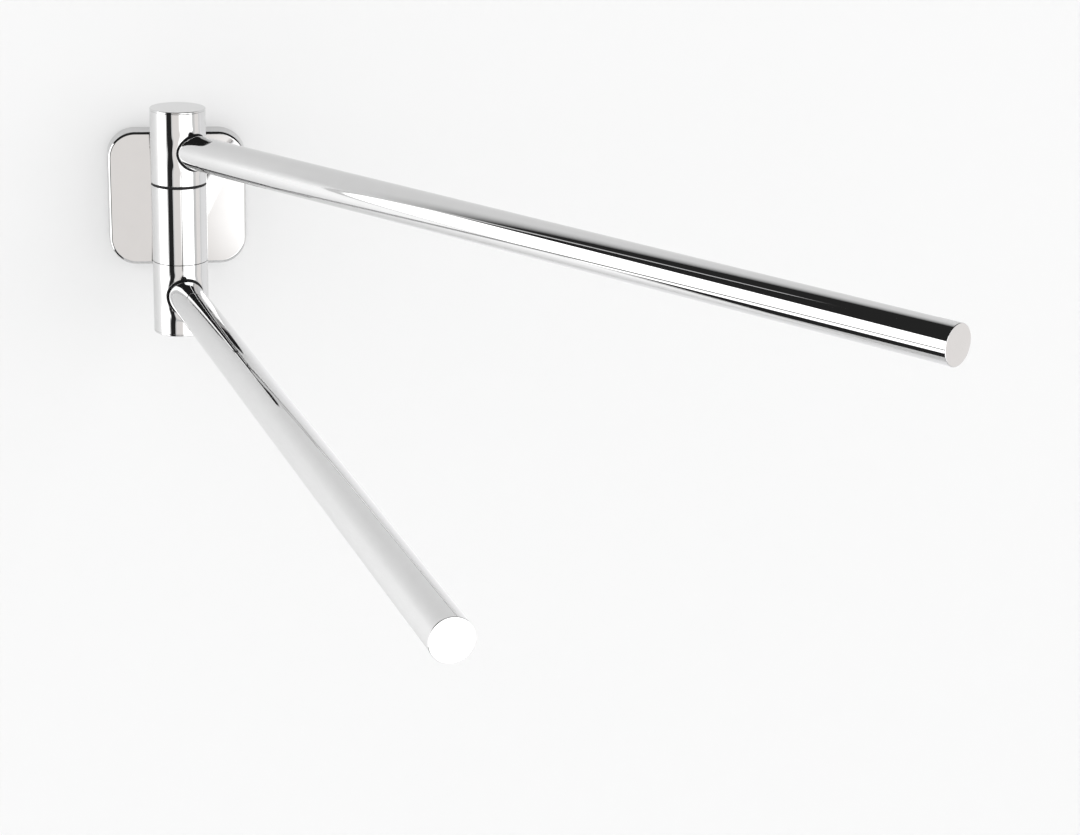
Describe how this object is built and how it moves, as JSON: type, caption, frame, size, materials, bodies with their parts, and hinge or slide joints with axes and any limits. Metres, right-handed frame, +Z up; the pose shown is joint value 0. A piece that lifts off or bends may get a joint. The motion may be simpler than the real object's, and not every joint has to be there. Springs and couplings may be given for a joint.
{
  "type": "towel warmer rack",
  "caption": "Wall-mounted towel warmer: straight round arms that swivel on a vertical barrel in front of a rounded square cover plate.",
  "frame": {"origin": "middle of the wall bracket's back face, on the wall, at the centre of its four wall screw holes", "axes": "+X along the wall to the right, +Y into the wall, +Z up along the swivel axis"},
  "size_m": [0.3761, 0.5936, 0.1324],
  "materials": {
    "chrome_plate": "polished and chrome plated",
    "zinc_steel": "zinc plated",
    "stainless": "turned",
    "spring_steel": "hardened and oiled",
    "brass": "turned",
    "black_rubber": "matt",
    "dark_polymer": "moulded, satin",
    "white_nylon": "moulded",
    "silicone": "moulded",
    "silicone_lead": "extruded",
    "heater_sheath": "annealed"
  },
  "bodies": {
    "root": {"wall_bracket": "zinc_steel", "cover_plate": "chrome_plate", "cover_gasket": "black_rubber", "cover_grub_screw": "stainless", "neck_seal": "black_rubber", "neck_tube": "chrome_plate", "neck_screws": "stainless", "cable_grommet": "black_rubber", "supply_connector": "white_nylon", "earth_washer": "brass", "earth_screw": "brass", "middle_barrel": "chrome_plate", "pivot_tube": "stainless", "pivot_grub_screws": "stainless", "thrust_washer": "dark_polymer", "upper_stop_pin": "stainless", "lower_stop_pin": "stainless", "upper_disc_spring": "spring_steel", "lower_flat_washer": "stainless", "upper_pivot_nut": "brass", "lower_pivot_nut": "brass", "upper_supply_lead": "silicone_lead", "lower_supply_lead": "silicone_lead"},
    "upper_arm": {"upper_barrel": "chrome_plate", "upper_cap": "chrome_plate", "upper_bush": "dark_polymer", "upper_clamp_block": "brass", "upper_clamp_screws": "stainless", "upper_arm_collar": "dark_polymer", "upper_arm_tube": "chrome_plate", "upper_tip_plug": "chrome_plate", "upper_arm_lead": "silicone_lead", "upper_thermal_fuse": "white_nylon", "upper_heater": "heater_sheath", "upper_heater_spacers": "silicone"},
    "lower_arm": {"lower_barrel": "chrome_plate", "lower_cap": "chrome_plate", "lower_bush": "dark_polymer", "lower_clamp_block": "brass", "lower_clamp_screws": "stainless", "lower_arm_collar": "dark_polymer", "lower_arm_tube": "chrome_plate", "lower_tip_plug": "chrome_plate", "lower_arm_lead": "silicone_lead", "lower_thermal_fuse": "white_nylon", "lower_heater": "heater_sheath", "lower_heater_spacers": "silicone"}
  },
  "joints": [
    {"name": "upper_arm_swivel", "type": "hinge", "parent": "root", "child": "upper_arm", "pos_m": [0, -0.0665, 0], "axis": [0, 0, 1], "range_deg": [-127.8, 52.2]},
    {"name": "lower_arm_swivel", "type": "hinge", "parent": "root", "child": "lower_arm", "pos_m": [0, -0.0665, 0], "axis": [0, 0, 1], "range_deg": [-99.95, 80.05]}
  ]
}
